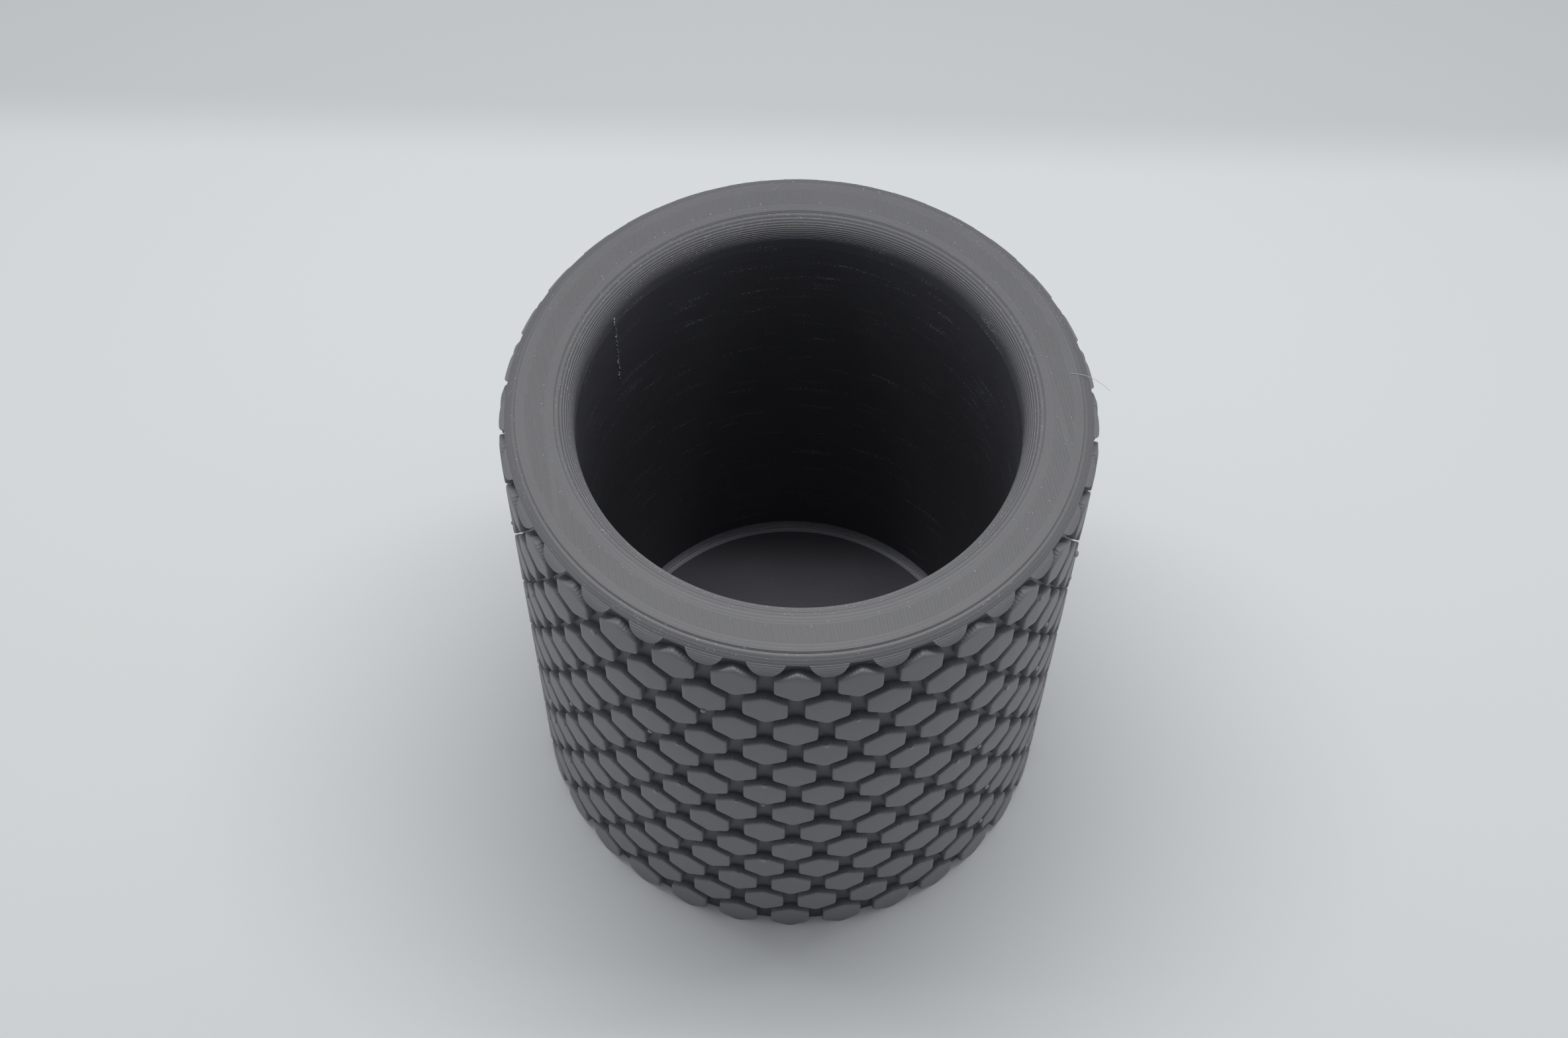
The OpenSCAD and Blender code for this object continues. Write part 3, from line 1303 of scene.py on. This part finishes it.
@dataclass
class Tread:
    """The scallops under the rim and the rows of raised hexagon pads.

    Attributes:
        sizes: The barrel's sizes.
        settings: How the plastic was laid down.
        finishes: The materials.
        pads_per_row: Number of pads in one turn.
        first_angle: Direction of the first pad of the top row, anticlockwise from +X.
        root: How far a pad's back is buried in the wall.
        sharp_from: Angle between two faces of a pad from which their edge stays sharp.
        face_strips: Number of strips in the face of a pad that follows the shoulder or the base.
        scallop_r: Radius of a scallop's round edge.
        edge_round: How far a scallop's side edges are rounded back.
        lips: Inset and depth of each ring of points from a pad's flank to its face.
        blob: Half sizes of a blob at a pad's tip.
        blob_stand: How far a blob's middle stands out from the pads' faces.
        blob_share: Share of the pads with a blob at the upper tip.
        blob_inset: How far a blob's middle lies inside the upper tip.
        drip_share: Share of the pads with a drip at the lower tip.
        drip_inset: How far a drip's middle lies inside the lower tip.
        rows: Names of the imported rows, from the top down.
    """

    sizes: BarrelSizes
    settings: PrintSettings
    finishes: Finishes
    pads_per_row: int = 31
    first_angle: float = math.radians(271)
    root: float = 0.1 * MM
    sharp_from: float = math.radians(50)
    face_strips: int = 8
    scallop_r: float = 2.85 * MM
    edge_round: float = 0.13 * MM
    lips: tuple[Point2, ...] = ((0.0, 0.17 * MM), (0.1 * MM, 0.035 * MM), (0.42 * MM, 0.0))
    blob: Point3 = (0.24 * MM, 0.45 * MM, 0.38 * MM)
    blob_stand: float = 0.04 * MM
    blob_share: float = 0.26
    blob_inset: float = 0.5 * MM
    drip_share: float = 0.07
    drip_inset: float = 0.1 * MM
    rows: list[str] = field(
        default_factory=lambda: sorted(name for name in frame["nodes"] if name.startswith("tread_row_"))
    )

    def build(self) -> None:
        """Build and dress the scallops and every row of pads."""
        ring = ring_of_copies()
        s, half = self.sizes, self.sizes.pad_corners / 2
        self.row(ring, "rim_scallops", self.lobe(), 0)
        for number, node in enumerate(self.rows, start=1):
            z = self.row_z(number)
            shaped = z + half > s.shoulder_z or z - half < 0
            self.row(ring, node, self.pad(z, self.face_strips if shaped else 1), number)
        self.tips("pad_tip_blobs", half - self.blob_inset, self.blob_share, seed=3)
        self.tips("pad_tip_drips", self.drip_inset - half, self.drip_share, seed=8)

    def lobe(self) -> bpy.types.Mesh:
        """Build one round scallop as a stack of layers that follows the shoulder.

        Returns:
            The scallop at its own height, pointing along +X.
        """
        s = self.sizes
        centre = s.scallop_low_z + self.scallop_r
        high = s.height - s.band_drop
        layers = round((high - s.scallop_low_z) / self.settings.layer)
        low = high - layers * self.settings.layer
        back = s.wall_r - self.root
        # A ring of points narrower than this would fold over its own rounded edges
        narrowest = 3 * self.edge_round
        rings: list[list[Point3]] = []
        for radius, z in layer_steps(s.skin_radius, low, high, self.settings, outward=True):
            half = math.sqrt(max(0.0, self.scallop_r**2 - (centre - z) ** 2))
            if half < narrowest:
                continue
            across = (-half, -half + self.edge_round, 0.0, half - self.edge_round, half)
            sunk = (self.edge_round, 0.0, 0.0, 0.0, self.edge_round)
            loop = [(back, -half, z)]
            for u, d in zip(across, sunk):
                loop.append(((radius - d) * math.cos(u / radius), (radius - d) * math.sin(u / radius), z))
            rings.append(loop + [(back, half, z)])
        size = len(rings[0])
        points = [point for loop in rings for point in loop]
        ends = [list(range(size)), list(range(len(points) - size, len(points)))]
        return build_mesh(points, ends + sleeve(len(rings), size))

    def tips(self, name: str, lift: float, share: float, seed: int) -> bpy.types.Object:
        """Leave small blobs of plastic at some of the pads' tips.

        Args:
            name: Name of the finished piece.
            lift: Height of a blob over its pad's centre.
            share: Share of the pads that have one.
            seed: Seed of the random choice.

        Returns:
            The blobs.
        """
        first_row = 2
        values = {
            "Rows": len(self.rows) - first_row,
            "Per Row": self.pads_per_row,
            "First Angle": self.row_angle(first_row),
            "Radius": self.sizes.barrel_r + self.blob_stand,
            "Top Height": self.row_z(first_row) + lift,
            "Row Pitch": self.sizes.row_pitch,
            "Stagger": 0.5,
            "Share": share,
            "Seed": seed,
        }
        return scatter(name, self.blob, values, self.finishes.line_ends, "tread_plastic")

    def row_z(self, number: int) -> float:
        """Height of the centre of a row, counted down from the scallops."""
        return self.sizes.scallop_row_z - number * self.sizes.row_pitch

    def row_angle(self, number: int) -> float:
        """Direction of a row's first pad."""
        half_step = math.pi / self.pads_per_row if number % 2 == 0 else 0.0
        return self.first_angle + half_step

    def row(self, ring: NodeShape, node: str, pad: bpy.types.Mesh, number: int) -> bpy.types.Object:
        """Set copies of a pad round the barrel.

        Args:
            ring: The tree that makes the copies.
            node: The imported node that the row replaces.
            pad: The pad's mesh.
            number: Number of the row, counted down from the scallops.

        Returns:
            The row.
        """
        values = {
            "Count": self.pads_per_row,
            "First Angle": self.row_angle(number),
            "Finish": self.finishes.tread,
        }
        piece = ring.apply(node + "_print", pad, values, self.sharp_from)
        return dress(piece, [self.finishes.tread], "tread_plastic", node)

    def pad(self, centre: float, levels: int) -> bpy.types.Mesh:
        """Build one pad with softly rounded edges, as hot plastic leaves them.

        Args:
            centre: Height of the pad's centre.
            levels: Number of strips that its face is divided into, from bottom to top.

        Returns:
            The pad at its own height, pointing along +X.
        """
        s = self.sizes
        shape = PadShape(s.pad_corners / 2 * math.cos(math.radians(30)), s.pad_corners / 2)
        rings: list[list[Point3]] = []
        for inset, depth in ((0.0, None), *self.lips):
            edge = shape.edge(inset)
            loop = [(u, centre + z) for u, z in edge]
            loop += [(u, max(inset / 2, centre - z)) for u, z in reversed(edge)]
            if depth is None:
                rings.append([(u, z, s.wall_r - self.root) for u, z in loop])
            else:
                rings.append([(u, z, max(s.wall_r, s.skin_radius(z) - depth)) for u, z in loop])
        size = len(rings[0])
        flat = [corner for ring in rings for corner in ring]
        faces = [list(range(size))] + sleeve(len(rings), size)
        top = [len(flat) - size + i for i in range(size // 2)]
        low = [len(flat) - 1 - i for i in range(size // 2)]
        last = top
        for level in range(1, levels):
            share = level / levels
            here = list(range(len(flat), len(flat) + len(top)))
            for t, b in zip(top, low):
                u, z = flat[t][0], flat[t][1] * (1 - share) + flat[b][1] * share
                flat.append((u, z, s.skin_radius(z)))
            faces += self.strips(last, here)
            last = here
        faces += self.strips(last, low) + self.slivers(top, low, levels, len(flat))
        points = [(r * math.cos(u / s.barrel_r), r * math.sin(u / s.barrel_r), z) for u, z, r in flat]
        return build_mesh(points, faces)

    @staticmethod
    def strips(upper: list[int], lower: list[int]) -> list[list[int]]:
        """Faces between two rows of points."""
        pairs = zip(zip(upper, upper[1:]), zip(lower, lower[1:]))
        return [[a, b, d, c] for (a, b), (c, d) in pairs]

    @staticmethod
    def slivers(top: list[int], low: list[int], levels: int, total: int) -> list[list[int]]:
        """Slivers that close a divided face at its upright sides.

        Args:
            top: Points of the face's upper edge.
            low: Points of its lower edge.
            levels: Number of strips that the face is divided into.
            total: Number of points in the pad.

        Returns:
            Two faces, or none where the face is not divided.
        """
        if levels < 2:
            return []
        width = len(top)
        starts = range(total - width * (levels - 1), total, width)
        left = [top[0], *starts, low[0]]
        right = [top[-1], *(start + width - 1 for start in starts), low[-1]]
        return [left, right]


@dataclass
class Leftovers:
    """What printing leaves behind: the seam in the chamber and a strand drawn over the rim.

    Attributes:
        sizes: The barrel's sizes.
        settings: How the plastic was laid down.
        finishes: The materials.
        seam_angle: Direction of the seam where each layer starts, anticlockwise from +X.
        seam_drop: How far below the rim the seam fades out.
        seam_sunk: How far the middles of the seam's blobs lie inside the wall.
        seam_blob: Half sizes of a blob of the seam.
        pale_turn: How far round from the seam the pale blobs lie, in radians.
        pale_stand: How far the middles of the pale blobs stand out from the wall.
        pale_blob: Half sizes of a pale blob.
        strand_angle: Direction of the point that the strand starts from.
        strand_start: How far inside the barrel's radius it starts.
        strand_end: How far outside it ends.
        strand_turn: How far it turns clockwise on the way.
        strand_lift: Height over the rim where it starts.
        strand_fall: How far it falls on the way.
        strand_r: Radius of the strand.
        strand_steps: Number of steps along it.
    """

    sizes: BarrelSizes
    settings: PrintSettings
    finishes: Finishes
    seam_angle: float = math.radians(149)
    seam_drop: float = 18 * MM
    seam_sunk: float = 0.02 * MM
    seam_blob: Point3 = (0.16 * MM, 0.22 * MM, 0.15 * MM)
    pale_turn: float = 0.006
    pale_stand: float = 0.06 * MM
    pale_blob: Point3 = (0.1 * MM, 0.14 * MM, 0.11 * MM)
    strand_angle: float = math.radians(8.8)
    strand_start: float = 3.6 * MM
    strand_end: float = 1.5 * MM
    strand_turn: float = math.radians(3.9)
    strand_lift: float = 0.06 * MM
    strand_fall: float = 0.8 * MM
    strand_r: float = 0.032 * MM
    strand_steps: int = 14

    def build(self) -> None:
        """Build and dress the seam and the strand."""
        self.seam()
        self.strand()

    def seam(self) -> None:
        """Build the seam, a small blob at the start of most layers and a few pale ones beside it."""
        s, layer = self.sizes, self.settings.layer
        values = {
            "Rows": int((s.lip_z - s.height + self.seam_drop) / layer),
            "Per Row": 1,
            "First Angle": self.seam_angle,
            "Radius": s.chamber_r + self.seam_sunk,
            "Top Height": s.lip_z,
            "Row Pitch": layer,
            "Share": 0.85,
            "Seed": 5,
        }
        scatter("chamber_seam", self.seam_blob, values, self.finishes.chamber, "wall_plastic")
        values |= {
            "First Angle": self.seam_angle + self.pale_turn,
            "Radius": s.chamber_r - self.pale_stand,
            "Share": 0.2,
            "Seed": 11,
        }
        scatter("chamber_seam_blobs", self.pale_blob, values, self.finishes.strand, "wall_plastic")

    def strand(self) -> bpy.types.Object:
        """Build the fine strand that the nozzle drew over the shoulder.

        Returns:
            The strand.
        """
        s = self.sizes
        turn_power, fall_power = 2, 2.5
        path: list[Vector] = []
        for i in range(self.strand_steps + 1):
            share = i / self.strand_steps
            away = s.barrel_r - self.strand_start + share * (self.strand_start + self.strand_end)
            turn = self.strand_angle - self.strand_turn * share**turn_power
            z = s.height + self.strand_lift - self.strand_fall * share**fall_power
            path.append(Vector((away * math.cos(turn), away * math.sin(turn), z)))
        piece = new_object("rim_strand", tube(path, self.strand_r))
        return dress(piece, [self.finishes.strand], "rim_plastic")


# ---------------------------------------------------------------------------------------------
# Studio
# ---------------------------------------------------------------------------------------------
@dataclass(frozen=True)
class Softbox:
    """An oblong soft light.

    Attributes:
        name: Name of the light.
        place: Its place in metres.
        aim: The point that it faces.
        size: Its width and depth in metres.
        power: Power in watts.
    """

    name: str
    place: Point3
    aim: Point3
    size: Point2
    power: float

    def build(self) -> bpy.types.Object:
        """Add the light to the scene.

        Returns:
            The light.
        """
        data = bpy.data.lights.new(self.name, "AREA")
        data.shape = "RECTANGLE"
        data.size, data.size_y = self.size
        data.energy = self.power
        lamp = bpy.data.objects.new(self.name, data)
        lamp.location = self.place
        lamp.rotation_euler = (Vector(self.place) - Vector(self.aim)).to_track_quat("Z", "Y").to_euler()
        bpy.context.scene.collection.objects.link(lamp)
        return lamp


@dataclass
class Studio:
    """The pale sheet that the barrel stands on, the light and the camera.

    Attributes:
        sizes: The barrel's sizes.
        half_width: Half the sheet's width.
        toe: Points of the tone curve, as light in and light out.
        softboxes: The lights.
        glow: Colour of the even light from all round as sRGB hex.
        glow_strength: Its strength.
        pitch: How far down the camera looks.
        yaw: How far to the right of +Y it looks.
        roll: How far it is turned about its own line of sight.
        reach: How far it stands from the axis, in radii of the barrel.
        rise: How far it stands above the rim, in radii of the barrel.
        lens: Focal length in millimetres.
        sensor: Width of the sensor in millimetres.
        clip_start: Distance in metres from which it sees.
    """

    sizes: BarrelSizes
    half_width: float = 1.5
    toe: tuple[Point2, ...] = ((0.0144, 0.008), (0.035, 0.0255), (0.08, 0.078), (0.19, 0.19))
    softboxes: tuple[Softbox, ...] = (
        Softbox("overhead_strip", (0.0, 0.05, 0.42), (0.0, 0.05, 0.0), (0.4, 0.03), 0.79),
        Softbox("overhead_fill", (0.0, 0.003, 0.42), (0.0, 0.003, 0.0), (0.4, 0.012), 0.14),
        Softbox("overhead_back", (0.0, 0.22, 0.42), (0.0, 0.2, 0.0), (0.6, 0.05), 0.26),
        Softbox("left_panel", (-0.35, 0.0, 0.16), (0.0, 0.0, 0.08), (0.35, 0.3), 0.16),
        Softbox("right_panel", (0.35, 0.0, 0.16), (0.0, 0.0, 0.08), (0.35, 0.3), 0.16),
    )
    glow: str = "#fafdff"
    glow_strength: float = 0.25
    pitch: float = math.radians(58.16)
    yaw: float = math.radians(-0.61)
    roll: float = math.radians(1.05)
    reach: float = 4.162
    rise: float = 5.9615
    lens: float = 50.38
    sensor: float = 36.0
    clip_start: float = 0.01

    def build(self) -> None:
        """Build the sheet, the lights and the camera."""
        self.sheet()
        self.lights()
        self.camera()
        self.tone()

    def tone(self) -> None:
        """Deepen the darkest tones a little, as a camera's tone curve does."""
        view = bpy.context.scene.view_settings
        view.view_transform = "Standard"
        view.use_curve_mapping = True
        # The last curve acts on red, green and blue alike
        combined = view.curve_mapping.curves[3]
        for point in self.toe:
            combined.points.new(*point)
        view.curve_mapping.update()

    def sheet(self) -> bpy.types.Object:
        """Build the flat sheet that the barrel stands on.

        Returns:
            The sheet.
        """
        h = self.half_width
        points = [(-h, -h, 0.0), (h, -h, 0.0), (h, h, 0.0), (-h, h, 0.0)]
        sheet = new_object("studio_sheet", build_mesh(points, [(0, 1, 2, 3)], outward=False))
        sheet.data.materials.append(StudioPaper().build())
        return sheet

    def lights(self) -> None:
        """Add soft lights overhead, a panel on each side and a dim even glow."""
        for softbox in self.softboxes:
            softbox.build()
        world = bpy.data.worlds.new("studio_glow")
        world.use_nodes = True
        background = world.node_tree.nodes["Background"]
        background.inputs["Color"].default_value = linear(self.glow)
        background.inputs["Strength"].default_value = self.glow_strength
        bpy.context.scene.world = world

    def camera(self) -> bpy.types.Object:
        """Add the camera, which looks down into the mouth from the front.

        Returns:
            The camera.
        """
        pitch, yaw, roll = self.pitch, self.yaw, self.roll
        forward = Vector((math.sin(yaw) * math.cos(pitch), math.cos(yaw) * math.cos(pitch), -math.sin(pitch)))
        level = Vector((math.cos(yaw), -math.sin(yaw), 0.0))
        upright = level.cross(forward)
        right = math.cos(roll) * level + math.sin(roll) * upright
        up = -math.sin(roll) * level + math.cos(roll) * upright
        data = bpy.data.cameras.new("camera")
        data.sensor_width = self.sensor
        data.lens = self.lens
        data.clip_start = self.clip_start
        camera = bpy.data.objects.new("camera", data)
        turn = Matrix((right, up, -forward)).transposed().to_4x4()
        radius = self.sizes.barrel_r
        place = (0.0, -self.reach * radius, self.sizes.height + self.rise * radius)
        camera.matrix_world = Matrix.Translation(place) @ turn
        bpy.context.scene.collection.objects.link(camera)
        bpy.context.scene.camera = camera
        return camera


def main() -> None:
    """Build the barrel in order."""
    logging.basicConfig(level=logging.INFO, format="%(name)s: %(message)s")
    settings = PrintSettings()
    sizes = BarrelSizes.from_frame(frame["record"])
    finishes = Finishes.build()
    Studio(sizes).build()
    Shell(sizes, settings, finishes).build()
    Mouth(sizes, settings, finishes).build()
    Tread(sizes, settings, finishes).build()
    Leftovers(sizes, settings, finishes).build()


if __name__ == "__main__":
    main()
